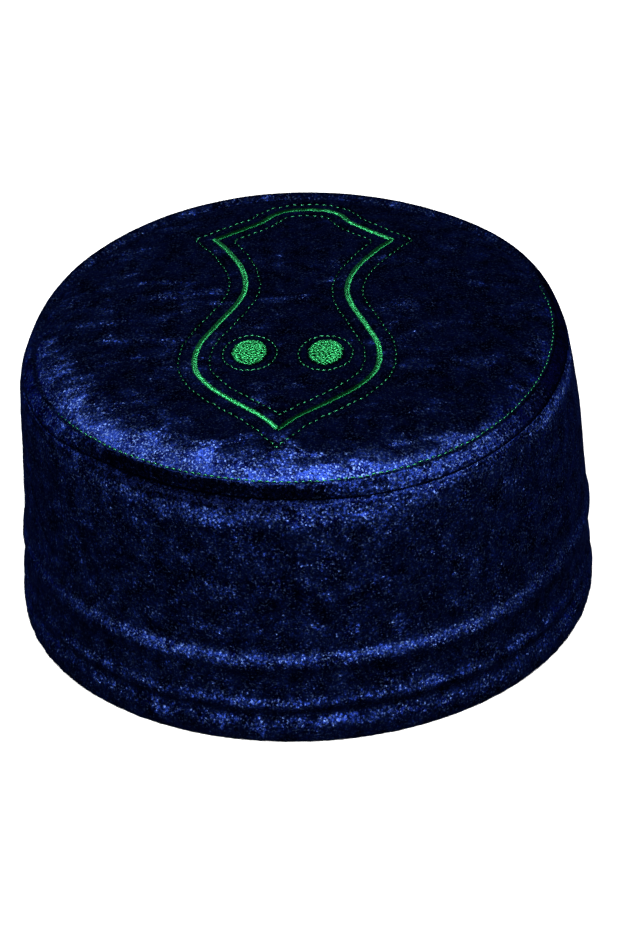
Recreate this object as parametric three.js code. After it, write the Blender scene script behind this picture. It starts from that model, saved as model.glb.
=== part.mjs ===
// A prayer cap of crushed velvet: a stiffened side band, a low padded crown sewn to its top edge,
// and a sandal-sole ornament embroidered on the crown. Millimetres, +Z up, the rim on z = 0, the
// front of the cap towards -Y. Angles round the cap are counted from the front towards +X.
import * as THREE from 'three';

// Driving dimensions
const RIM_RADIUS = 95;            // outside of the band at the rim
const SEAM_RADIUS = 88.2;         // outside of the band at the seam with the crown
const SEAM_HEIGHT = 88.7;
const RING_RADIUS = 83.3;         // line of topstitches that pulls the crown's edge down
const RING_HEIGHT = 94.4;
const DOME_RISE = 6.3;            // middle of the crown above the topstitches
const DOME_POWER_FRONT = 10;      // how late the crown rolls over towards its front edge
const DOME_POWER_BACK = 3;
const TILT = 3.3;                 // the seam's back stands this far above its mean height
const HEM_WALL = 2.9;             // velvet, stiffening and turned-in hem
const BAND_WALL = 2.5;            // velvet and stiffening
const CROWN_WALL = 2.4;
const GAP = 0.3;                  // clearance between pieces that touch
const ROLL_GUTTER = 3.4;          // how far the band's top edge leans in along the gutter
const ROLL_PLAIN = 0.4;           // and elsewhere
const STEPS_ROUND = 72;

// The cap is slightly out of round: lobes swell the plan by a few tenths of a millimetre, and the
// band stands out a little at half height on the right.
const BODY_LOBES = { count: 3, swell: 0.6, peak: 51 };
const TOP_LOBES = { count: 4, swell: 0.75, peak: 18 };
const SIDE_SWELL = { out: 1.9, angle: 88, low: 12, full: 40, fading: 56, high: 90 };

// Outside of the band: height, and distance out from the straight taper between rim and seam
const BAND_FORM = [
  { z: 0, out: -1.4 },            // flat rim
  { z: 1.4, out: -0.1 },
  { z: 3, out: 0.4 },
  { z: 5.7, out: 0.7 },           // ridge under the hem's stitches
  { z: 7.6, out: 0.4 },
  { z: 9.6, out: -0.25 },
  { z: 11.4, out: -0.6 },         // groove of the hem's stitches
  { z: 12.6, out: -0.15 },
  { z: 14, out: 0.55 },           // ridge over the hem's stitches
  { z: 15.6, out: 0.35 },
  { z: 17.4, out: -0.3 },
  { z: 20.5, out: -0.45 },
  { z: 25.3, out: -0.2 },
  { z: 28.2, out: 0.5 },
  { z: 29.8, out: 0.75 },         // ridge where the turned-in hem ends
  { z: 32.3, out: 0.1 },
  { z: 34.4, out: -0.6 },
  { z: 39.5, out: -0.6 },
  { z: 50, out: -0.3 },
  { z: 62, out: 0 },
  { z: 74, out: 0.3 },
  { z: 79, out: 0.4 },
  { z: 82, out: 0.4 },
  { z: 85, out: 0.4 },
  { z: 87.8, out: 0.4 },
];

// Share of the roll at the band's top edge
const BAND_TOP = [
  { z: 79, share: 0 },
  { z: 82, share: 0.1 },
  { z: 85, share: 0.32 },
  { z: 87.8, share: 0.68 },
  { z: 88.55, share: 1 },
];

// Inside of the band, from the seam down, where the hem's end makes a low step
const BAND_INSIDE = [
  { z: 85, wall: BAND_WALL },
  { z: 82, wall: BAND_WALL },
  { z: 79, wall: BAND_WALL },
  { z: 37, wall: BAND_WALL },
  { z: 33, wall: HEM_WALL },
  { z: 0, wall: HEM_WALL },
];

// Edge of the crown from the topstitches to the seam, as distances out from the ring of topstitches
// and up from it. In front on the left it stands up from a gutter, at both sides it slopes down to
// the seam, and behind it is full and round.
const CROWN_EDGE = {
  gutter: [[0, -0.3], [0.45, -1], [0.75, -2.4], [0.95, -3.8], [1.15, -4.9], [1.3, -5.5]],
  slope: [[0, -0.2], [0.9, -0.8], [2, -1.9], [3.1, -3.2], [4, -4.4], [4.5, -5.5]],
  back: [[0, 0], [2.3, 0.7], [4, 0], [4.8, -1.8], [4.9, -3.9], [4.6, -5.5]],
};
const CROWN_EDGE_INSIDE = {
  gutter: [[-0.7, -5.5], [-1.2, -4.3], [-2.2, -3]],
  slope: [[2.4, -5.5], [0.9, -4], [-0.9, -2.6]],
  back: [[2.4, -5.5], [1.9, -3.4], [-0.5, -2.3]],
};
const CROWN_RADII = [0, 16, 32, 46, 57, 65.5, 72, 76.5, 80, 82.3];
const CROWN_RADII_INSIDE = [78, 70, 56, 36, 0];

// Embroidered ornament, in its own frame: x across, y towards the back of the cap
const ORNAMENT_TURN = -5.7;       // degrees, clockwise seen from above
const ORNAMENT_SHIFT = { x: -0.7, y: -1.6 };
const SATIN_WIDTH = 2;
const SATIN_HEIGHT = 0.8;
const DOT_WIDTH = 11.2;
const DOT_LENGTH = 13.8;
const DOT_HEIGHT = 1.1;
const DOT_PLACE = { x: 12.1, y: -19.6 };
const HEEL_STEPS = 14;
const SOLE_STEPS = 34;
const DOT_STEPS = 12;
const HEEL_EDGE = [               // from the middle of the broad end to its point
  { x: 0, y: 74.2 },
  { x: 6.8, y: 73 },
  { x: 11.2, y: 69.6 },
  { x: 15, y: 63.6 },
  { x: 21.1, y: 58 },
  { x: 29.5, y: 51.4 },
];
const SOLE_EDGE = [               // from that point by the waist to the lower point
  { x: 29.5, y: 51.4 },
  { x: 23.8, y: 41.7 },
  { x: 18.5, y: 30 },
  { x: 16.6, y: 18.5 },
  { x: 18.6, y: 8.8 },
  { x: 24, y: -3.6 },
  { x: 28.6, y: -15.5 },
  { x: 28.8, y: -28 },
  { x: 23.8, y: -37.8 },
  { x: 15.7, y: -46.1 },
  { x: 6, y: -54.4 },
  { x: 0, y: -61.3 },
];

const velvet = new THREE.MeshStandardMaterial({ color: 0x141f52, roughness: 0.55, metalness: 0 });
const bandVelvet = new THREE.MeshStandardMaterial({ color: 0x111a48, roughness: 0.55, metalness: 0 });
const satinThread = new THREE.MeshStandardMaterial({ color: 0x1fae5a, roughness: 0.4, metalness: 0 });
const dotThread = new THREE.MeshStandardMaterial({ color: 0x28b865, roughness: 0.4, metalness: 0 });

function lobe({ count, swell, peak }, angle) {
  return swell / RIM_RADIUS * Math.cos(count * (angle - THREE.MathUtils.degToRad(peak)));
}

function sideSwell({ out, angle: middle, low, full, fading, high }, angle, height) {
  const near = Math.max(0, Math.cos(angle - THREE.MathUtils.degToRad(middle))) ** 8;
  const rising = THREE.MathUtils.smoothstep(height, low, full);
  return out / RIM_RADIUS * near * rising * (1 - THREE.MathUtils.smoothstep(height, fading, high));
}

// Point of the cap for a radius, an angle from the front and a height, with the cap's
// out-of-round plan and the tilt of its top.
function onCap(radius, angle, height) {
  const level = height / SEAM_HEIGHT;
  const round = 1 + lobe(BODY_LOBES, angle) + level * lobe(TOP_LOBES, angle);
  const plan = radius * (round + sideSwell(SIDE_SWELL, angle, height));
  const y = -plan * Math.cos(angle);
  return new THREE.Vector3(plan * Math.sin(angle), y, height + level * TILT * y / SEAM_RADIUS);
}

// Height of the crown's outer face before the tilt, flat in the middle and rolling over to the
// ring, most sharply in front a little to the left
function domeHeight(radius, angle) {
  const front = (1 + Math.cos(angle + THREE.MathUtils.degToRad(25))) / 2;
  const power = THREE.MathUtils.lerp(DOME_POWER_BACK, DOME_POWER_FRONT, front ** 2);
  return RING_HEIGHT + DOME_RISE * (1 - Math.min(radius / RING_RADIUS, 1) ** power);
}

// Closed body turned round the cap's axis, with a section that changes with the angle
function turned(sectionAt) {
  const count = sectionAt(0).length;
  const profile = sectionAt(0).map(({ r, z }) => new THREE.Vector2(r, z));
  const geometry = new THREE.LatheGeometry(profile, STEPS_ROUND);
  const place = geometry.attributes.position;
  for (let step = 0; step <= STEPS_ROUND; step++) {
    const angle = (step % STEPS_ROUND) / STEPS_ROUND * 2 * Math.PI;
    sectionAt(angle).forEach(({ r, z }, row) => {
      const point = onCap(r, angle, z);
      place.setXYZ(step * count + row, point.x, point.y, point.z);
    });
  }
  return geometry;
}

function taper(z) {
  return THREE.MathUtils.lerp(RIM_RADIUS, SEAM_RADIUS, z / SEAM_HEIGHT);
}

// 1 along the front and the front's left, where the crown's edge stands up from the gutter, and 0
// elsewhere; it fades out on the right between two angles
function gutterShare(angle, start, end) {
  const turn = THREE.MathUtils.radToDeg(Math.atan2(Math.sin(angle), Math.cos(angle)));
  const left = THREE.MathUtils.smoothstep(turn, -66, -42);
  const right = THREE.MathUtils.smoothstep(turn, start, end);
  return left * (1 - right);
}

// How far the band leans in at a height near its top edge
function rollIn(angle, z) {
  const upper = Math.max(1, BAND_TOP.findIndex((row) => row.z >= z));
  const [low, high] = [BAND_TOP[upper - 1], BAND_TOP[upper]];
  const share = THREE.MathUtils.mapLinear(z, low.z, high.z, low.share, high.share);
  const roll = THREE.MathUtils.lerp(ROLL_PLAIN, ROLL_GUTTER, gutterShare(angle, -5, 60));
  return THREE.MathUtils.clamp(share, 0, 1) * roll;
}

function bandSection(angle) {
  const top = SEAM_HEIGHT - GAP / 2;
  const relief = 0.7 + 0.3 * Math.cos(angle);
  const outside = BAND_FORM.map(({ z, out }) => ({ r: taper(z) + out * relief, z }));
  const seam = [{ r: taper(top) + 0.1, z: top }, { r: taper(top) - BAND_WALL, z: top }];
  const inside = BAND_INSIDE.map(({ z, wall }) => ({ r: taper(z) - wall, z }));
  return [...outside, ...seam, ...inside, outside[0]].map(({ r, z }) => ({ r: r - rollIn(angle, z), z }));
}

function crownSection(angle) {
  const back = THREE.MathUtils.smoothstep(-Math.cos(angle), -0.15, 0.65);
  const gutter = gutterShare(angle, -15, 40);
  const shares = { gutter: (1 - back) * gutter, slope: (1 - back) * (1 - gutter), back };
  const mixed = (rows, row, axis) => (
    Object.keys(shares).reduce((sum, side) => sum + shares[side] * rows[side][row][axis], 0));
  const edge = (rows) => rows.back.map((_, row) => ({
    r: RING_RADIUS + mixed(rows, row, 0),
    z: RING_HEIGHT + mixed(rows, row, 1),
  }));
  const under = CROWN_RADII_INSIDE.map((r) => ({ r, z: domeHeight(r, angle) - CROWN_WALL }));
  const over = CROWN_RADII.map((r) => ({ r, z: domeHeight(r, angle) }));
  return [...over, ...edge(CROWN_EDGE), ...edge(CROWN_EDGE_INSIDE), ...under].reverse();
}

// Smooth curve through a table's points, without its last point
function alongRows(rows, steps) {
  const curve = new THREE.SplineCurve(rows.map(({ x, y }) => new THREE.Vector2(x, y)));
  return curve.getSpacedPoints(steps).slice(0, -1);
}

// Centre line of the satin outline, once round, from the middle of the broad end
function ornamentLine() {
  const right = [...alongRows(HEEL_EDGE, HEEL_STEPS), ...alongRows(SOLE_EDGE, SOLE_STEPS)];
  const tip = SOLE_EDGE[SOLE_EDGE.length - 1];
  const left = right.slice(1).reverse().map((point) => new THREE.Vector2(-point.x, point.y));
  return [...right, new THREE.Vector2(tip.x, tip.y), ...left];
}

// Closed line moved sideways by a distance, with mitred corners
function offsetLine(line, distance) {
  return line.map((point, i) => {
    const before = line[(i + line.length - 1) % line.length];
    const after = line[(i + 1) % line.length];
    const inward = point.clone().sub(before).normalize();
    const outward = after.clone().sub(point).normalize();
    const along = inward.clone().add(outward).normalize();
    const mitre = distance / along.dot(inward);
    return new THREE.Vector2(point.x - along.y * mitre, point.y + along.x * mitre);
  });
}

// Flat embroidery laid on the crown: turned and shifted with the ornament, then raised point by
// point to the crown's outer face.
function embroidered(shape, height) {
  const flat = { depth: height, bevelEnabled: false, curveSegments: DOT_STEPS };
  const geometry = new THREE.ExtrudeGeometry(shape, flat);
  geometry.rotateZ(THREE.MathUtils.degToRad(ORNAMENT_TURN));
  geometry.translate(ORNAMENT_SHIFT.x, ORNAMENT_SHIFT.y, 0);
  const place = geometry.attributes.position;
  for (let i = 0; i < place.count; i++) {
    const x = place.getX(i);
    const y = place.getY(i);
    place.setZ(i, place.getZ(i) + crownFace(x, y) + GAP);
  }
  return geometry;
}

// Height of the crown's outer face at a place seen from above
function crownFace(x, y) {
  const angle = Math.atan2(x, -y);
  const reach = Math.hypot(x, y);
  const plan = onCap(1, angle, RING_HEIGHT);
  const radius = reach / Math.hypot(plan.x, plan.y);
  return onCap(radius, angle, domeHeight(radius, angle)).z;
}

function satinOutline() {
  const line = ornamentLine();
  const shape = new THREE.Shape(offsetLine(line, SATIN_WIDTH / 2));
  shape.holes.push(new THREE.Path(offsetLine(line, -SATIN_WIDTH / 2).reverse()));
  return embroidered(shape, SATIN_HEIGHT);
}

function dot(side) {
  const shape = new THREE.Shape();
  shape.absellipse(side * DOT_PLACE.x, DOT_PLACE.y, DOT_WIDTH / 2, DOT_LENGTH / 2, 0, 2 * Math.PI);
  return embroidered(shape, DOT_HEIGHT);
}

function piece(name, geometry, material) {
  const mesh = new THREE.Mesh(geometry, material);
  mesh.name = name;
  return mesh;
}

const cap = new THREE.Group();
cap.add(piece('side_band', turned(bandSection), bandVelvet));
cap.add(piece('crown', turned(crownSection), velvet));
cap.add(piece('embroidered_outline', satinOutline(), satinThread));
cap.add(piece('embroidered_dot_left', dot(-1), dotThread));
cap.add(piece('embroidered_dot_right', dot(1), dotThread));

export default cap;
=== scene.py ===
import math
import random

import bmesh
import bpy
import numpy as np
from mathutils import Matrix, Vector, noise
from mathutils.bvhtree import BVHTree
from mathutils.kdtree import KDTree


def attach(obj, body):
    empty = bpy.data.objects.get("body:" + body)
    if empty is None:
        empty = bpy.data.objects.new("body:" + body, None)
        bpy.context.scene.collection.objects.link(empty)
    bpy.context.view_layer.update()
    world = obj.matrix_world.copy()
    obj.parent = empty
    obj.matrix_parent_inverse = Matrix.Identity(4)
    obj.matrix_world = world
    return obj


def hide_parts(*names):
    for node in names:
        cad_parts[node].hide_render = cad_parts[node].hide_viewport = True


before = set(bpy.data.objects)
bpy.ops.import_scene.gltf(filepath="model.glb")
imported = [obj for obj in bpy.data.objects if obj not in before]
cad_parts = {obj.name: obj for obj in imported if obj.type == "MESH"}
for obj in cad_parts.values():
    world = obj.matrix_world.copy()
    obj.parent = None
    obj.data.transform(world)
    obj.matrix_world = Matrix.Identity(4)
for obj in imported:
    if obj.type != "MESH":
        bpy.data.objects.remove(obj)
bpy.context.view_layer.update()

# The camera stands 1.2 m away, straight in front of the cap and about a third of a right angle
# above the table, and leans a little to one side, as in the photograph.
MM = 0.001
camera_rise = math.radians(32.8)
camera_lean = math.radians(3.2)
camera_distance = 1.2
camera_aim = Vector((2.6 * MM, 0, 43.2 * MM))

camera = bpy.data.objects.new("camera", bpy.data.cameras.new("camera"))
camera.data.lens = 140.7
camera_back = Vector((0, -math.cos(camera_rise), math.sin(camera_rise)))
camera_right = Vector((1, 0, 0))
camera_up = camera_back.cross(camera_right)
leaned_right = math.cos(camera_lean) * camera_right - math.sin(camera_lean) * camera_up
leaned_up = math.cos(camera_lean) * camera_up + math.sin(camera_lean) * camera_right
camera_axes = Matrix((leaned_right, leaned_up, camera_back)).transposed().to_4x4()
camera.matrix_world = Matrix.Translation(camera_aim + camera_distance * camera_back) @ camera_axes
bpy.context.scene.collection.objects.link(camera)
bpy.context.scene.camera = camera

# The studio: a pale matt table that runs out of sight, a wide soft light over the front of the
# cap, a weaker one at each side, two faint low ones behind it, and a pale surround. The sheen of
# velvet and thread sees the surround dark, so that the cap stays as deep as in the photograph.
table_half = 6
light_aim = Vector((0, 0, 60 * MM))


def node(tree, kind, settings=None, **inputs):
    """A shader node with its settings, and its inputs set to values or linked to outputs.

    An input goes by its name, with _ for a space, or by its place, i0 being the first."""
    made = tree.nodes.new(kind)
    for name, value in (settings or {}).items():
        setattr(made, name, value)
    for name, value in inputs.items():
        by_place = name[0] == "i" and name[1:].isdigit()
        socket = made.inputs[int(name[1:]) if by_place else name.replace("_", " ")]
        if isinstance(value, bpy.types.NodeSocket):
            tree.links.new(value, socket)
        else:
            socket.default_value = value
    return made


def colour_between(tree, share, low, high):
    """The colour at a share of the way from one colour to another."""
    return node(tree, "ShaderNodeMix", {"data_type": "RGBA"}, Factor=share, A=low, B=high).outputs["Result"]


def new_material(name):
    material = bpy.data.materials.new(name)
    material.use_nodes = True
    return material, material.node_tree, material.node_tree.nodes["Principled BSDF"]


def soft_light(name, azimuth, rise, distance, width, depth, power):
    """An area light aimed at the cap from an azimuth counted from the front towards the right."""
    lamp = bpy.data.lights.new(name, "AREA")
    lamp.shape = "RECTANGLE"
    lamp.size, lamp.size_y, lamp.energy = width, depth, power
    turn, rise = math.radians(azimuth), math.radians(rise)
    back = Vector((math.sin(turn) * math.cos(rise), -math.cos(turn) * math.cos(rise), math.sin(rise)))
    light = bpy.data.objects.new(name, lamp)
    light.location = back * distance + light_aim
    light.rotation_euler = back.to_track_quat("Z", "Y").to_euler()
    bpy.context.scene.collection.objects.link(light)


soft_light("light_over_front", azimuth=3, rise=47, distance=1.6, width=0.8, depth=0.5, power=44)
soft_light("light_left", azimuth=-62, rise=38, distance=1.6, width=0.5, depth=0.4, power=15)
soft_light("light_right", azimuth=66, rise=36, distance=1.6, width=0.5, depth=0.4, power=16)
soft_light("light_behind_left", azimuth=-118, rise=12, distance=1.8, width=0.5, depth=0.5, power=3)
soft_light("light_behind_right", azimuth=122, rise=12, distance=1.8, width=0.5, depth=0.5, power=3)

table_material, tree, shader = new_material("pale_table")
shader.inputs["Base Color"].default_value = (0.86, 0.86, 0.86, 1)
shader.inputs["Roughness"].default_value = 0.9
bm = bmesh.new()
bmesh.ops.create_grid(bm, x_segments=1, y_segments=1, size=table_half)
mesh = bpy.data.meshes.new("table")
bm.to_mesh(mesh)
bm.free()
mesh.materials.append(table_material)
table = bpy.data.objects.new("table", mesh)
table.visible_glossy = False
bpy.context.scene.collection.objects.link(table)

world = bpy.data.worlds.new("surround")
world.use_nodes = True
tree = world.node_tree
in_sheen = node(tree, "ShaderNodeLightPath").outputs["Is Glossy Ray"]
surround = colour_between(tree, in_sheen, (0.92, 0.92, 0.92, 1), (0.02, 0.022, 0.028, 1))
tree.links.new(surround, tree.nodes["Background"].inputs["Color"])
bpy.context.scene.world = world
bpy.context.scene.view_settings.view_transform = "Standard"

# The side band is a strip of crushed navy velvet over stiffening cloth, sewn into a ring behind.
# Its lower edge is turned in and stitched down, which leaves a groove between two ridges and a
# third ridge where the hem ends, and its upper edge rolls in under the crown.
rim_radius = 95 * MM
seam_radius = 88.2 * MM
seam_height = 88.7 * MM
seam_gap = 0.06 * MM
tilt = 3.3 * MM
band_wall = 2.5 * MM
hem_wall = 2.9 * MM
hem_height = 33 * MM
hem_stitch_height = 11.4 * MM
back_seam_width = 0.8 * MM
back_seam_depth = 0.5 * MM
body_lobes = dict(count=3, swell=0.6 * MM, peak=math.radians(51))
top_lobes = dict(count=4, swell=0.75 * MM, peak=math.radians(18))
right_swell = 1.9 * MM
ridge_wave = 0.9 * MM
dent_depth = 0.5 * MM
pile_depth = 0.16 * MM
rim_ripple = 0.3 * MM
around_steps = 560
band_step = 0.95 * MM
# Rows of height and reach out from the band's straight taper, in millimetres.
band_form = [(0, -1.4), (1.4, -0.1), (3, 0.4), (5.7, 0.7), (7.6, 0.4), (9.6, -0.25), (11.4, -0.6),
             (12.6, -0.15), (14, 0.55), (15.6, 0.35), (17.4, -0.3), (20.5, -0.45), (25.3, -0.2), (28.2, 0.5),
             (29.8, 0.75), (32.3, 0.1), (34.4, -0.6), (39.5, -0.6), (50, -0.3), (62, 0), (74, 0.3), (86, 0.4)]
top_rows = (86.6, 87.1, 87.5, 87.8, 88.05, 88.25, 88.4, 88.5)
# Rows of height, in millimetres, and the share of the roll under the crown that is reached there.
band_roll = [(79, 0), (80.5, 0.03), (82, 0.1), (83.5, 0.2), (85, 0.32), (86.5, 0.46), (87.8, 0.68),
             (88.55, 1)]
# Height and width, in millimetres, and strength of the belts where combed pile catches the light.
band_belts = [(8.8, 1.4, 0.35), (16, 1.2, 0.35), (33, 2.6, 0.95), (83.5, 2.4, 0.7)]


def fade(value, start, end):
    """0 below start and 1 above end, with a smooth way between."""
    t = min(max((value - start) / (end - start), 0), 1)
    return t * t * (3 - 2 * t)


def bell(distance, width):
    """1 at no distance, falling off to nearly 0 at twice the width."""
    return math.exp(-(distance / width) ** 2)


def lobe(turn, count, swell, peak):
    return swell / rim_radius * math.cos(count * (turn - peak))


def swelled(turn, height):
    """The band stands out a little at half height on the right."""
    near = max(0, math.cos(turn - math.radians(88))) ** 8
    up = fade(height, 12 * MM, 40 * MM) * (1 - fade(height, 56 * MM, 90 * MM))
    return right_swell / rim_radius * near * up


def on_cap(radius, turn, height):
    """A point of the cap, out of round by its lobes and with its top tilted towards the front."""
    level = height / seam_height
    plan = radius * (1 + lobe(turn, **body_lobes) + level * lobe(turn, **top_lobes) + swelled(turn, height))
    y = -plan * math.cos(turn)
    return Vector((plan * math.sin(turn), y, height + level * tilt * y / seam_radius))


def taper(height):
    return rim_radius + (seam_radius - rim_radius) * height / seam_height


def spaced(points, step, closed=False):
    """Even points about a step apart along a line."""
    points = np.array([*points, points[0]] if closed else points)
    along = np.concatenate(([0], np.cumsum(np.linalg.norm(np.diff(points, axis=0), axis=1))))
    steps = round(along[-1] / step)
    places = np.linspace(0, along[-1], steps if closed else max(2, steps + 1), endpoint=not closed)
    return [Vector(p) for p in np.stack([np.interp(places, along, axis) for axis in points.T], 1)]


def smooth_line(points, step):
    """Even points along a smooth curve through the given ones."""
    knots = [Vector(p) for p in points]
    knots = [2 * knots[0] - knots[1], *knots, 2 * knots[-1] - knots[-2]]
    fine = []
    for a, b, c, d in zip(knots, knots[1:], knots[2:], knots[3:]):
        for t in np.linspace(0, 1, 24, endpoint=False):
            bend = (2 * a - 5 * b + 4 * c - d) * t * t + (3 * b - a - 3 * c + d) * t ** 3
            fine.append((2 * b + (c - a) * t + bend) / 2)
    return spaced([*fine, knots[-2]], step)


def spun(outline, closed):
    """The outline, in radius and height, spun round the cap's axis: an eighth, then its copies."""
    bm = bmesh.new()
    corners = [bm.verts.new((r, 0, z)) for r, z in outline]
    after = corners[1:] + corners[:1] if closed else corners[1:]
    edges = [bm.edges.new(pair) for pair in zip(corners, after)]
    bmesh.ops.spin(bm, geom=corners + edges, cent=(0, 0, 0), axis=(0, 0, 1), dvec=(0, 0, 0),
                   angle=math.pi / 4, steps=around_steps // 8, use_merge=False, use_duplicate=False)
    for eighths in (1, 2, 4):
        copied = bmesh.ops.duplicate(bm, geom=bm.verts[:] + bm.edges[:] + bm.faces[:])["geom"]
        bmesh.ops.rotate(bm, cent=(0, 0, 0), matrix=Matrix.Rotation(eighths * math.pi / 4, 3, "Z"),
                         verts=[part for part in copied if isinstance(part, bmesh.types.BMVert)])
    bmesh.ops.remove_doubles(bm, verts=bm.verts, dist=0.001 * MM)
    bmesh.ops.recalc_face_normals(bm, faces=bm.faces)
    return bm


def finished(bm, name, slot, *materials):
    """The bmesh as a piece of the cap, at the origin and carried by its one body."""
    mesh = bpy.data.meshes.new(name)
    bm.to_mesh(mesh)
    bm.free()
    for material in materials:
        mesh.materials.append(material)
    mesh.shade_smooth()
    piece = bpy.data.objects.new(name, mesh)
    bpy.context.scene.collection.objects.link(piece)
    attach(piece, "root")
    return piece


def ripple(place, length, seed):
    """Noise from -1 to 1 that repeats about every length."""
    return noise.noise(place / length + Vector((seed, 2 * seed, 3 * seed)))


def crushed(place, depth):
    """How far crushed pile stands proud at a place: patches of a few millimetres, and finer ones."""
    return depth * (ripple(place, 7.5 * MM, 3) + 0.55 * ripple(place, 3.4 * MM, 5))


def gutter_share(turn, start=-15, end=40):
    """1 along the front and its left, where the crown's edge stands up from a gutter at the seam."""
    left = fade(turn, math.radians(-66), math.radians(-42))
    return left * (1 - fade(turn, math.radians(start), math.radians(end)))


def seam_shade_share(turn):
    """Painted shade in the seam: most in the gutter and behind, little at the sides where pile nearly closes
    it.
    """
    return max(0.15, gutter_share(turn, -15, 35), fade(-math.cos(turn), 0.3, 0.7))


def roll_in(turn, height):
    """How far the top of the band leans in towards the crown, most of all at the gutter."""
    share = np.interp(height, [row[0] * MM for row in band_roll], [row[1] for row in band_roll])
    return share * (0.4 + 3 * gutter_share(turn, -5, 60)) * MM


def press_band(bm):
    """Gives the spun band its plan, its wavy ridges, its dents, its back seam and its crushed pile.

    The pile is written down for the velvet: how much painted shade darkens it in its seams and creases,
    how flat it is combed, and which way it is laid."""
    pressed = bm.verts.layers.float.new("pressed")
    lay = bm.verts.layers.float_vector.new("lay")
    combed = bm.verts.layers.float.new("combed")
    for corner in bm.verts:
        turn = math.atan2(corner.co.x, -corner.co.y)
        radius, height = corner.co.xy.length, corner.co.z
        lean = roll_in(turn, height)
        if radius > taper(height) - 1.7 * MM:
            place = on_cap(radius, turn, height)
            belt = max(much * bell(height - at * MM, wide * MM) for at, wide, much in band_belts)
            radius = taper(height) + (radius - taper(height)) * (0.7 + 0.3 * math.cos(turn))
            low = fade(height, 1 * MM, 6 * MM) * (1 - fade(height, 38 * MM, 52 * MM))
            around = Vector((math.sin(turn), math.cos(turn), 0))
            height += low * ridge_wave * ripple(around, 0.45, 11)
            proud = fade(height, 0, 5 * MM) * (1 - 0.7 * fade(height, 84 * MM, 88 * MM))
            radius += proud * dent_depth * ripple(place, 34 * MM, 7)
            radius += proud * crushed(place, pile_depth)
            radius += rim_ripple * (1 - fade(height, 2 * MM, 5 * MM)) * ripple(place, 1.9 * MM, 13)
            back_seam = bell((math.pi - abs(turn)) * radius, back_seam_width)
            radius -= back_seam_depth * back_seam * fade(height, 0, 3 * MM)
            # Painted shade: the colour is darkened in the back seam, along the hem's stitch line and in the
            # crease where the band meets the crown.
            corner[pressed] = max(0.8 * back_seam, 0.15 * bell(height - hem_stitch_height, 0.6 * MM),
                                  0.9 * seam_shade_share(turn) * fade(height, 84.4 * MM, 86.4 * MM))
            strip = bell(height - 86 * MM, 3 * MM) * fade(turn, 0.8, 1.05) * (1 - fade(turn, 1.4, 1.8))
            corner[lay] = strip * Vector((-0.3, -0.35, 0.35)) + Vector((0, 0, 0.18 * belt))
            corner[combed] = belt
        corner.co = on_cap(radius - lean, turn, height)


seam_top = seam_height - seam_gap / 2
outside = smooth_line([(taper(z * MM) + out * MM, z * MM) for z, out in band_form], band_step)
outside += [Vector((taper(z * MM) + 0.4 * MM, z * MM)) for z in top_rows]
outside += [Vector((taper(seam_top) + out * MM, seam_top)) for out in (0.1, -0.7, -1.6)]
inside = [(taper(z) - wall, z) for z, wall in (
    (seam_top, band_wall), (62 * MM, band_wall), (37 * MM, band_wall), (hem_height, hem_wall), (0, hem_wall))]
band_bm = spun([*outside, *(Vector(p) for p in inside)], closed=True)
for face in band_bm.faces:
    middle = face.calc_center_median()
    inner = middle.xy.length < taper(middle.z) - 2.1 * MM
    face.material_index = 1 if inner and middle.z > hem_height else 0
press_band(band_bm)


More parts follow.
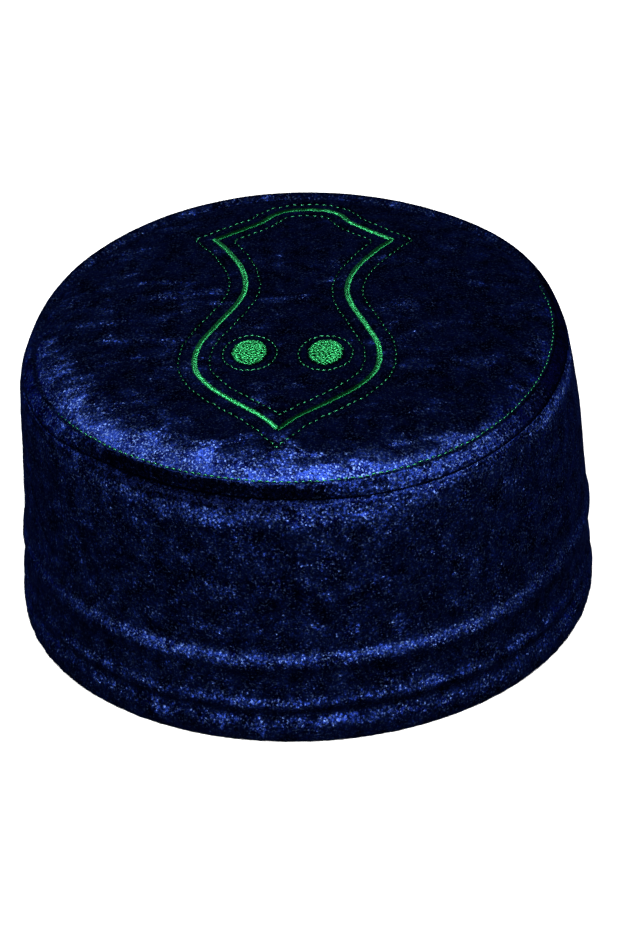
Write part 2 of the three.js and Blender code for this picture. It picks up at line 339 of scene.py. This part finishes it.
def pile_group():
    """Crushed pile: patches that lean different ways, fine fibres, and fibres that catch light."""
    tree = bpy.data.node_groups.new("crushed_pile", "ShaderNodeTree")
    for name, kind, value in (
            ("Place", "Vector", (0, 0, 0)),
            ("Lay", "Vector", (0, 0, 0)),
            ("Pressed", "Float", 0),
            ("Combed", "Float", 0),
            ("Patch Size", "Float", 0.007),
            ("Patch Lean", "Float", 0.4),
            ("Fibre Lean", "Float", 0.5),
            ("Deep Colour", "Color", (0, 0, 0, 1)),
            ("Lustre Colour", "Color", (1, 1, 1, 1)),
            ("Catch Colour", "Color", (1, 1, 1, 1)),
            ("Catch Share", "Float", 0.1),
            ("Softness", "Float", 0.45)):
        socket = tree.interface.new_socket(name, in_out="INPUT", socket_type="NodeSocket" + kind)
        socket.default_value = value
    for name, kind in (("Colour", "Color"), ("Normal", "Vector"), ("Roughness", "Float")):
        tree.interface.new_socket(name, in_out="OUTPUT", socket_type="NodeSocket" + kind)
    given = tree.nodes.new("NodeGroupInput").outputs
    out = tree.nodes.new("NodeGroupOutput").inputs

    def maths(operation, first, second):
        return node(tree, "ShaderNodeMath", {"operation": operation}, i0=first, i1=second).outputs[0]

    def vector_maths(operation, first, **others):
        return node(tree, "ShaderNodeVectorMath", {"operation": operation}, i0=first, **others).outputs[0]

    def ranged(value, **limits):
        return node(tree, "ShaderNodeMapRange", Value=value, **limits).outputs[0]

    def leaned(normal, colour, amount):
        """The normal with a share of a noise colour added to it."""
        middled = vector_maths("SUBTRACT", colour, i1=(0.5, 0.5, 0.5))
        pull = vector_maths("SCALE", middled, Scale=amount)
        return vector_maths("NORMALIZE", vector_maths("ADD", normal, i1=pull))

    per_metre = maths("DIVIDE", 1.0, given["Patch Size"])
    patches = node(tree, "ShaderNodeTexNoise", Vector=given["Place"], Scale=per_metre, Detail=3.0,
                   Roughness=0.65)
    fibres = node(tree, "ShaderNodeTexNoise", Vector=given["Place"], Scale=1150.0, Detail=2.0, Roughness=0.55)
    flecks = node(tree, "ShaderNodeTexNoise", Vector=given["Place"], Scale=1700.0, Detail=0.0)

    # Combed pile leans less from patch to patch and from fibre to fibre, and catches more light.
    patch_lean = maths("MULTIPLY", given["Patch Lean"], ranged(given["Combed"], To_Min=1.0, To_Max=0.35))
    fibre_lean = maths("MULTIPLY", given["Fibre Lean"], ranged(given["Combed"], To_Min=1.0, To_Max=0.6))
    catch_share = maths("MULTIPLY", given["Catch Share"], ranged(given["Combed"], To_Min=1.0, To_Max=1.15))

    normal = vector_maths("ADD", node(tree, "ShaderNodeNewGeometry").outputs["Normal"], i1=given["Lay"])
    normal = leaned(normal, patches.outputs["Color"], patch_lean)
    tree.links.new(leaned(normal, fibres.outputs["Color"], fibre_lean), out["Normal"])

    depth = ranged(patches.outputs["Fac"], From_Min=0.36, From_Max=0.64)
    colour = colour_between(tree, depth, given["Deep Colour"], given["Lustre Colour"])
    catch = ranged(flecks.outputs["Fac"], From_Min=maths("SUBTRACT", 0.78, catch_share), From_Max=0.8)
    colour = colour_between(tree, catch, colour, given["Catch Colour"])
    # Painted shade: the colour is drawn towards near black where the piece marks shade in its seams, grooves
    # and creases.
    colour = colour_between(tree, given["Pressed"], colour, (0.0004, 0.0006, 0.004, 1))
    tree.links.new(colour, out["Colour"])

    uneven = ranged(fibres.outputs["Fac"], From_Min=0.3, From_Max=0.7, To_Min=-0.05, To_Max=0.05)
    tree.links.new(maths("ADD", uneven, given["Softness"]), out["Roughness"])
    return tree


crushed_pile = pile_group()
navy_pile = dict(Deep_Colour=(0.0006, 0.0014, 0.02, 1), Lustre_Colour=(0.006, 0.0155, 0.105, 1),
                 Catch_Colour=(0.05, 0.088, 0.22, 1), Catch_Share=0.2)


def velvet_material(name, **values):
    """Navy velvet whose pile is laid by the shared group with this piece's own values."""
    material, tree, shader = new_material(name)
    place = node(tree, "ShaderNodeTexCoord").outputs["Object"]
    lay = node(tree, "ShaderNodeAttribute", {"attribute_name": "lay"}).outputs["Vector"]
    # The painted shade that the piece marks in its seams, grooves and creases.
    pressed = node(tree, "ShaderNodeAttribute", {"attribute_name": "pressed"}).outputs["Fac"]
    combed = node(tree, "ShaderNodeAttribute", {"attribute_name": "combed"}).outputs["Fac"]
    pile = node(tree, "ShaderNodeGroup", {"node_tree": crushed_pile}, Place=place, Lay=lay, Pressed=pressed,
                Combed=combed, **navy_pile, **values)
    tree.links.new(pile.outputs["Colour"], shader.inputs["Base Color"])
    tree.links.new(pile.outputs["Normal"], shader.inputs["Normal"])
    tree.links.new(pile.outputs["Roughness"], shader.inputs["Roughness"])
    shader.inputs["Metallic"].default_value = 0.98
    shader.inputs["Specular Tint"].default_value = (0.05, 0.1, 0.5, 1)
    return material


def backing_material():
    """Plain navy cloth with a fine weave, the back of the velvet's stiffening."""
    material, tree, shader = new_material("backing_cloth")
    place = node(tree, "ShaderNodeTexCoord").outputs["Object"]
    weave = node(tree, "ShaderNodeTexNoise", Vector=place, Scale=900.0, Detail=2.0).outputs["Fac"]
    shade = colour_between(tree, weave, (0.006, 0.008, 0.03, 1), (0.018, 0.022, 0.065, 1))
    bump = node(tree, "ShaderNodeBump", Height=weave, Strength=0.5, Distance=0.3 * MM)
    tree.links.new(shade, shader.inputs["Base Color"])
    tree.links.new(bump.outputs["Normal"], shader.inputs["Normal"])
    shader.inputs["Roughness"].default_value = 0.85
    return material


band_velvet = velvet_material("band_velvet", Patch_Size=5.5 * MM, Patch_Lean=1.6, Fibre_Lean=1.9,
                              Softness=0.42)
backing_cloth = backing_material()
band = finished(band_bm, "velvet_band", "band_velvet", band_velvet, backing_cloth)
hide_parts("side_band")

# The crown is a disc of the same velvet over padding, with a ring of topstitches a little way in
# from its seam. It lies nearly flat, rolls over towards the stitches in front, and drops beyond
# them into a gutter at the seam; behind it is full and round.
ring_radius = 83.3 * MM
ring_height = 94.4 * MM
dome_rise = 6.3 * MM
crown_wall = 2.4 * MM
crown_step = 0.9 * MM
edge_length = 8.6 * MM
under_reach = 79 * MM
under_edge_length = 6 * MM
groove_depth = 0.45 * MM
groove_width = 0.9 * MM
# Rows of reach out from the topstitches and rise above them, in millimetres.
crown_edge = {
    "gutter": [(0, -0.3), (0.45, -1), (0.75, -2.4), (0.95, -3.8), (1.15, -4.9), (1.3, -5.67)],
    "slope": [(0, -0.2), (0.9, -0.8), (2, -1.9), (3.1, -3.2), (4, -4.4), (4.5, -5.67)],
    "back": [(0, 0), (2.3, 0.7), (4, 0), (4.8, -1.8), (4.9, -3.9), (4.6, -5.67)],
}
crown_inside_edge = {
    "gutter": [(-2.2, -3), (-1.2, -4.3), (-0.7, -5.67)],
    "slope": [(-0.9, -2.6), (0.9, -4), (2.4, -5.67)],
    "back": [(-0.5, -2.3), (1.9, -3.4), (2.4, -5.67)],
}


def dome_height(radius, turn):
    """The crown's outer face before its tilt: flat in the middle, rolling over to the stitches."""
    front = (1 + math.cos(turn + math.radians(25))) / 2
    return ring_height + dome_rise * (1 - min(radius / ring_radius, 1) ** (3 + 7 * front ** 2))


def edge_place(rows, share, turn):
    """Radius and height at a share of the way along the crown's edge."""
    back = fade(-math.cos(turn), -0.15, 0.65)
    gutter = gutter_share(turn)
    weights = {"gutter": (1 - back) * gutter, "slope": (1 - back) * (1 - gutter), "back": back}
    out = up = 0
    for side, weight in weights.items():
        shares = np.linspace(0, 1, len(rows[side]))
        out += weight * np.interp(share, shares, [row[0] for row in rows[side]])
        up += weight * np.interp(share, shares, [row[1] for row in rows[side]])
    return ring_radius + out * MM, ring_height + up * MM


# The ornament is the outline of a sandal's sole, a traditional devotional figure, 135 mm long. Its
# lines are laid out flat, with x across and y towards the back, and turned a little on the crown.
ornament_turn = math.radians(-5.7)
ornament_shift = Vector((-0.7 * MM, -1.6 * MM))
heel_edge = [(0, 74.2), (6.8, 73), (11.2, 69.6), (15, 63.6), (21.1, 58), (29.5, 51.4)]
sole_edge = [(29.5, 51.4), (23.8, 41.7), (18.5, 30), (16.6, 18.5), (18.6, 8.8), (24, -3.6), (28.6, -15.5),
             (28.8, -28), (23.8, -37.8), (15.7, -46.1), (6, -54.4), (0, -61.3)]
outer_line_out = 5.2 * MM
inner_line_in = 4.7 * MM
dot_place = (12.1 * MM, -19.6 * MM)
dot_half = (5.6 * MM, 6.9 * MM)
dot_ring_half = (8.6 * MM, 9.8 * MM)


def with_neighbours(line):
    """Each point of a closed line, between the one before it and the one after it."""
    return zip(line[-1:] + line[:-1], line, line[1:] + line[:1])


def without_loops(moved, line, distance):
    """Leaves out moved points that came too near the line they were moved from."""
    tree = KDTree(len(line))
    for i, point in enumerate(line):
        tree.insert((point.x, point.y, 0), i)
    tree.balance()
    return [p for p in moved if tree.find((p.x, p.y, 0))[2] > distance - 0.05 * MM]


def ornament_line(out, step):
    """The outline once round, moved outwards by a distance, as even points with sharp corners."""
    heel, sole = (smooth_line([Vector(p) * MM for p in rows], 0.5 * MM) for rows in (heel_edge, sole_edge))
    right = heel[:-1] + sole[:-1]
    line = right + [sole[-1]] + [Vector((-p.x, p.y)) for p in reversed(right[1:])]
    moved = []
    for before, point, after in with_neighbours(line):
        arriving, leaving = (point - before).normalized(), (after - point).normalized()
        along = (arriving + leaving).normalized()
        moved.append(point + Vector((-along.y, along.x)) * out / along.dot(arriving))
    return spaced(without_loops(moved, line, abs(out)), step, closed=True)


def oval_line(centre, half, step):
    steps = round(math.pi * (half[0] + half[1]) / step)
    return [Vector((centre[0] + half[0] * math.cos(a), centre[1] + half[1] * math.sin(a)))
            for a in np.linspace(0, 2 * math.pi, steps, endpoint=False)]


def on_crown(points):
    """Flat places of the ornament, turned and shifted to where they are on the crown."""
    turn = Matrix.Rotation(ornament_turn, 2)
    return [turn @ p + ornament_shift for p in points]


def stitch_grooves():
    """All the lines that pull the pile down, for measuring how near a place is to one."""
    lines = [*ornament_line(outer_line_out, MM), *ornament_line(-inner_line_in, MM), *ornament_line(0.0, MM)]
    for side in (-1, 1):
        centre = (side * dot_place[0], dot_place[1])
        lines += oval_line(centre, dot_ring_half, MM)
        lines += oval_line(centre, dot_half, MM)
    tree = KDTree(len(lines))
    for i, p in enumerate(on_crown(lines)):
        tree.insert((p.x, p.y, 0), i)
    tree.balance()
    return tree


def streak(place, across, back, seed):
    """Noise drawn out into streaks, by its length across the cap and from front to back."""
    return noise.noise(Vector((place.x / across, place.y / back, seed)))


def pile_lay(place, reach, turn):
    """How the crown's pile is brushed: to the back in the middle and on the right, and to the front
    along its left and front edge, in streaks that run across."""
    right = fade(place.x, -55 * MM, 5 * MM)
    edge = fade(reach, 66 * MM, 80 * MM) * fade(math.cos(turn + math.radians(38)), 0.1, 0.75)
    streaks = streak(place, 22 * MM, 7 * MM, 9) + 0.7 * streak(place, 8 * MM, 3 * MM, 5)
    back = 0.42 * right - 0.04 - (0.36 + 0.22 * right) * edge
    back -= (1 - right) * (0.8 - 0.4 * edge) * min(max(-0.25, streaks), 0.4)
    back -= right * 1.7 * min(max(0, streaks - 0.06), 0.35)
    return Vector((0, back * (1 - 0.5 * fade(reach, 79 * MM, ring_radius)), 0))


def press_crown(bm):
    """Presses the flat two-layer disc into the crown: dome, edge, wrinkles, grooves and pile, and marks
    painted shade in its grooves and at its edge.
    """
    grooves = stitch_grooves()
    pressed = bm.verts.layers.float.new("pressed")
    lay = bm.verts.layers.float_vector.new("lay")
    combed = bm.verts.layers.float.new("combed")
    for corner in bm.verts:
        turn = math.atan2(corner.co.x, -corner.co.y)
        reach = corner.co.xy.length
        underneath = corner.co.z < -MM
        if underneath and reach <= under_reach:
            radius, height = reach, dome_height(reach, turn) - crown_wall
        elif underneath:
            share = (reach - under_reach) / under_edge_length
            radius, height = edge_place(crown_inside_edge, share, turn)
        elif reach <= ring_radius:
            radius, height = reach, dome_height(reach, turn)
            place = on_cap(radius, turn, height)
            nearest = grooves.find((place.x, place.y, 0))[2]
            left = fade(-place.x, 5 * MM, 45 * MM)
            wrinkles = (0.08 + 0.4 * left) * MM * streak(place, 17 * MM, 4.2 * MM, 4)
            height += fade(nearest, 2 * MM, 12 * MM) * wrinkles
            height += crushed(place, 0.1 * MM) * fade(nearest, 0, 3 * MM)
            height -= groove_depth * bell(nearest, groove_width)
            height -= 0.9 * MM * bell(ring_radius - reach, 1.7 * MM)
            # Painted shade in the grooves along the embroidery's stitch lines.
            corner[pressed] = 0.8 * bell(nearest, 0.8 * MM)
            corner[lay] = pile_lay(place, reach, turn)
            front = fade(math.cos(turn + math.radians(15)), 0.3, 0.8)
            corner[combed] = fade(reach, 70 * MM, 78 * MM) * front
        else:
            share = (reach - ring_radius) / edge_length
            radius, height = edge_place(crown_edge, share, turn)
            place = on_cap(radius, turn, height)
            height += crushed(place, 0.12 * MM) * (1 - share)
            height -= 0.9 * MM * bell(reach - ring_radius, 0.9 * MM) * (1 - gutter_share(turn))
            # Painted shade on the crown's edge: on the right, where the light falls away from it, on the
            # gutter's wall at the front, and next to the seam.
            shaded_right_side = fade(turn, math.radians(40), math.radians(60)) * (1 - fade(turn, 1.8, 2.2))
            painted_edge_shade = max(gutter_share(turn, -5, 25), shaded_right_side) * fade(share, 0.02, 0.15)
            painted_seam_shade = seam_shade_share(turn) * fade(share, 0.8, 0.95)
            corner[pressed] = 0.85 * max(painted_edge_shade, painted_seam_shade)
        corner.co = on_cap(radius, turn, height)


# The disc starts flat, with its outer layer at height 0 and its inner layer 2 mm below.
flat_reach = ring_radius + edge_length
under_rows = (85, 82, 79, 70, 56, 36, 0)
over = [(s, 0) for s in np.linspace(0, flat_reach, round(flat_reach / crown_step))]
under = [(s * MM, -2 * MM) for s in under_rows]
crown_bm = spun([*over, *under], closed=False)
press_crown(crown_bm)
crown_tree = BVHTree.FromBMesh(crown_bm)
# The low part of the underside, next to the edge, shows the backing cloth.
for face in crown_bm.faces:
    middle = face.calc_center_median()
    inner = face.normal.z < -0.3 and middle.z < ring_height - MM and middle.xy.length < 84 * MM
    face.material_index = 1 if inner else 0

crown_velvet = velvet_material("crown_velvet", Patch_Size=6 * MM, Patch_Lean=1.4, Fibre_Lean=1.6,
                               Softness=0.4)
crown = finished(crown_bm, "velvet_crown", "crown_velvet", crown_velvet, backing_cloth)
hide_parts("crown")

# The thick outline is satin stitch: more than nine hundred short green threads laid side by side
# across the line over a core, each one diving into the velvet at both ends.
satin_width = 1.8 * MM
satin_pitch = 0.36 * MM
satin_thread = 0.42 * MM


def thread_form(length, width, rise, cuts=4):
    """One stitch along X: a thread that comes up at one end, arches over and goes down again."""
    bm = bmesh.new()
    bmesh.ops.create_cone(bm, cap_ends=True, segments=6, radius1=width / 2, radius2=width / 2, depth=length,
                          matrix=Matrix.Rotation(math.pi / 2, 4, "Y"))
    lengthways = [e for e in bm.edges if abs(e.verts[0].co.x - e.verts[1].co.x) > length / 2]
    bmesh.ops.subdivide_edges(bm, edges=lengthways, cuts=cuts, use_grid_fill=True)
    for corner in bm.verts:
        share = abs(corner.co.x) / (length / 2)
        corner.co.y *= 1 - 0.35 * share ** 4
        corner.co.z *= 1 - 0.35 * share ** 4
        corner.co.z += rise * (1 - share ** 2) - 0.3 * width * share ** 4
    bmesh.ops.recalc_face_normals(bm, faces=bm.faces)
    return bm


def stitched(name, form, places, material):
    """One piece of the stitch repeated at each place, a matrix.

    Each stitch keeps how far it runs across the cap, for a painted sheen in its colour: lighter where thread
    lies across, darker where it lies front to back."""
    single = bpy.data.meshes.new(name + "_single")
    form.to_mesh(single)
    form.free()
    joined = bmesh.new()
    for place in places:
        stitch = single.copy()
        stitch.transform(place)
        joined.from_mesh(stitch)
        bpy.data.meshes.remove(stitch)
    painted_sheen_across = joined.verts.layers.float.new("painted_sheen_across")
    for i, corner in enumerate(joined.verts):
        ahead = places[i // len(single.vertices)].col[0].xyz
        corner[painted_sheen_across] = abs(ahead.x) / ahead.length
    bpy.data.meshes.remove(single)
    return finished(joined, name, "green_thread", material)


def stitch_place(point, along, lift, jitter, stretch):
    """Where a stitch lies on the crown: its matrix, with X along the stitch and Z off the cloth."""
    spot, normal, *_ = crown_tree.ray_cast(Vector((point.x, point.y, 0.2)), Vector((0, 0, -1)))
    across = normal.cross(Vector((along.x, along.y, 0))).normalized()
    ahead = across.cross(normal)
    twist = Matrix.Rotation(jitter, 3, normal)
    basis = Matrix((twist @ ahead * stretch, twist @ across, normal)).transposed().to_4x4()
    return Matrix.Translation(spot + normal * lift) @ basis


def thread_material(name, bright, deep):
    """Silky embroidery thread with a painted sheen, lighter where it runs across the cap and darker where it
    runs front to back, and uneven along its way.
    """
    material, tree, shader = new_material(name)
    place = node(tree, "ShaderNodeTexCoord").outputs["Object"]
    uneven = node(tree, "ShaderNodeTexNoise", Vector=place, Scale=1400.0, Detail=2.0).outputs["Fac"]
    painted_sheen_across = node(tree, "ShaderNodeAttribute", {"attribute_name": "painted_sheen_across"}).outputs["Fac"]
    # Painted sheen: the colour goes from the deep one to the bright one as the stitch turns to run across the
    # cap.
    painted_sheen = node(tree, "ShaderNodeMapRange", Value=painted_sheen_across, From_Min=0.35, From_Max=0.95,
                  To_Min=0.15, To_Max=1.9).outputs[0]
    share = node(tree, "ShaderNodeMath", {"operation": "MULTIPLY", "use_clamp": True}, i0=uneven, i1=painted_sheen)
    shade = colour_between(tree, share.outputs[0], (*deep, 1), (*bright, 1))
    tree.links.new(shade, shader.inputs["Base Color"])
    shader.inputs["Metallic"].default_value = 0.93
    shader.inputs["Roughness"].default_value = 0.27
    shader.inputs["Specular Tint"].default_value = (0.2, 0.9, 0.4, 1)
    return material


green_thread = thread_material("green_thread", bright=(0.028, 0.3, 0.1), deep=(0.002, 0.05, 0.014))
chance = random.Random(7)
places = []
for before, point, after in with_neighbours(on_crown(ornament_line(0.0, satin_pitch))):
    along = (after - before).normalized()
    across = Vector((-along.y, along.x))
    places.append(stitch_place(point, across, lift=0.35 * MM, jitter=math.radians(chance.uniform(-34, -18)),
                               stretch=chance.uniform(0.95, 1.2)))
satin = stitched("satin_outline", thread_form(satin_width, satin_thread, 0.16 * MM), places, green_thread)
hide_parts("embroidered_outline")

# Each of the two dots is a disc of the same thread, filled with short stitches in rows that are
# staggered from row to row, and raised a little in its middle.
dot_stitch = 1.7 * MM
dot_pitch = 0.4 * MM
dot_thread = 0.52 * MM
dot_rise = 0.8 * MM


def dot_stitches(side):
    """Middle, rise and length of each stitch of a dot, row by row."""
    centre = Vector((side * dot_place[0], dot_place[1]))
    stitches = []
    for row in range(round(2 * dot_half[1] / dot_pitch)):
        y = -dot_half[1] + (row + 0.5) * dot_pitch
        half = dot_half[0] * math.sqrt(1 - (y / dot_half[1]) ** 2) * chance.uniform(0.92, 1.04)
        start = -half
        while start < half - 0.4 * MM:
            end = min(start + chance.uniform(0.7, 1.25) * dot_stitch, half)
            middle = Vector(((start + end) / 2, y + chance.uniform(-0.1, 0.1) * MM))
            dome = 1 - (middle.x / dot_half[0]) ** 2 - (middle.y / dot_half[1]) ** 2
            stitches.append((centre + middle, dot_rise * dome + chance.uniform(-0.07, 0.07) * MM,
                             (end - start) / dot_stitch))
            start = end
    return stitches


for side, name in ((-1, "left"), (1, "right")):
    places = []
    for middle, rise, stretch in dot_stitches(side):
        spot, ahead = on_crown([middle, middle + Vector((MM, 0))])
        places.append(stitch_place(spot, ahead - spot, lift=0.3 * MM + rise,
                                   jitter=math.radians(chance.uniform(-22, 22)), stretch=stretch))
    form = thread_form(dot_stitch, dot_thread, 0.25 * MM, cuts=3)
    dot = stitched("filled_dot_" + name, form, places, green_thread)
    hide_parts("embroidered_dot_" + name)

# Running stitches in the same thread, sunk into the pile and given a darker copy of its colour as
# painted shade: one line outside the satin outline and one inside it, a ring round each dot, and the
# ring of topstitches round the crown.
run_pitch = 2.5 * MM
run_length = 1.5 * MM
dot_ring_pitch = 2.1 * MM
topstitch_pitch = 2.2 * MM
shaded_thread = thread_material("shaded_thread", bright=(0.03, 0.22, 0.1), deep=(0.01, 0.09, 0.04))


def run_places(line, lift, wander):
    """A stitch at each point of a closed line, along it."""
    places = []
    for before, point, after in with_neighbours(line):
        along = (after - before).normalized()
        point = point + Vector((-along.y, along.x)) * chance.uniform(-wander, wander)
        places.append(stitch_place(point, along, lift + chance.uniform(-wander, 0.6 * wander),
                                   jitter=chance.uniform(-0.15, 0.15), stretch=chance.uniform(0.8, 1.15)))
    return places


places = run_places(on_crown(ornament_line(outer_line_out, run_pitch)), -0.02 * MM, 0.2 * MM)
places += run_places(on_crown(ornament_line(-inner_line_in, run_pitch)), -0.02 * MM, 0.2 * MM)
for side in (-1, 1):
    ring = oval_line((side * dot_place[0], dot_place[1]), dot_ring_half, dot_ring_pitch)
    places += run_places(on_crown(ring), 0.04 * MM, 0.15 * MM)
stitched("running_stitches", thread_form(run_length, 0.44 * MM, 0.2 * MM), places, shaded_thread)

count = round(2 * math.pi * ring_radius / topstitch_pitch)
turns = np.linspace(0, 2 * math.pi, count, endpoint=False)
ring = [on_cap(ring_radius - 0.2 * MM, turn, ring_height).xy for turn in turns]
places = []
for turn, place in zip(turns, run_places(ring, 0.16 * MM, 0.12 * MM)):
    turn = math.remainder(turn, 2 * math.pi)
    sunk = 0.9 * fade(math.cos(turn - math.radians(20)), 0.3, -0.2)
    sunk += 0.16 * fade(turn, math.radians(20), math.radians(45))
    sunk += 0.3 * fade(-turn, math.radians(50), math.radians(62))
    places.append(place @ Matrix.Translation((0, 0, -sunk * MM)))
stitched("topstitches", thread_form(run_length, 0.46 * MM, 0.28 * MM), places, shaded_thread)
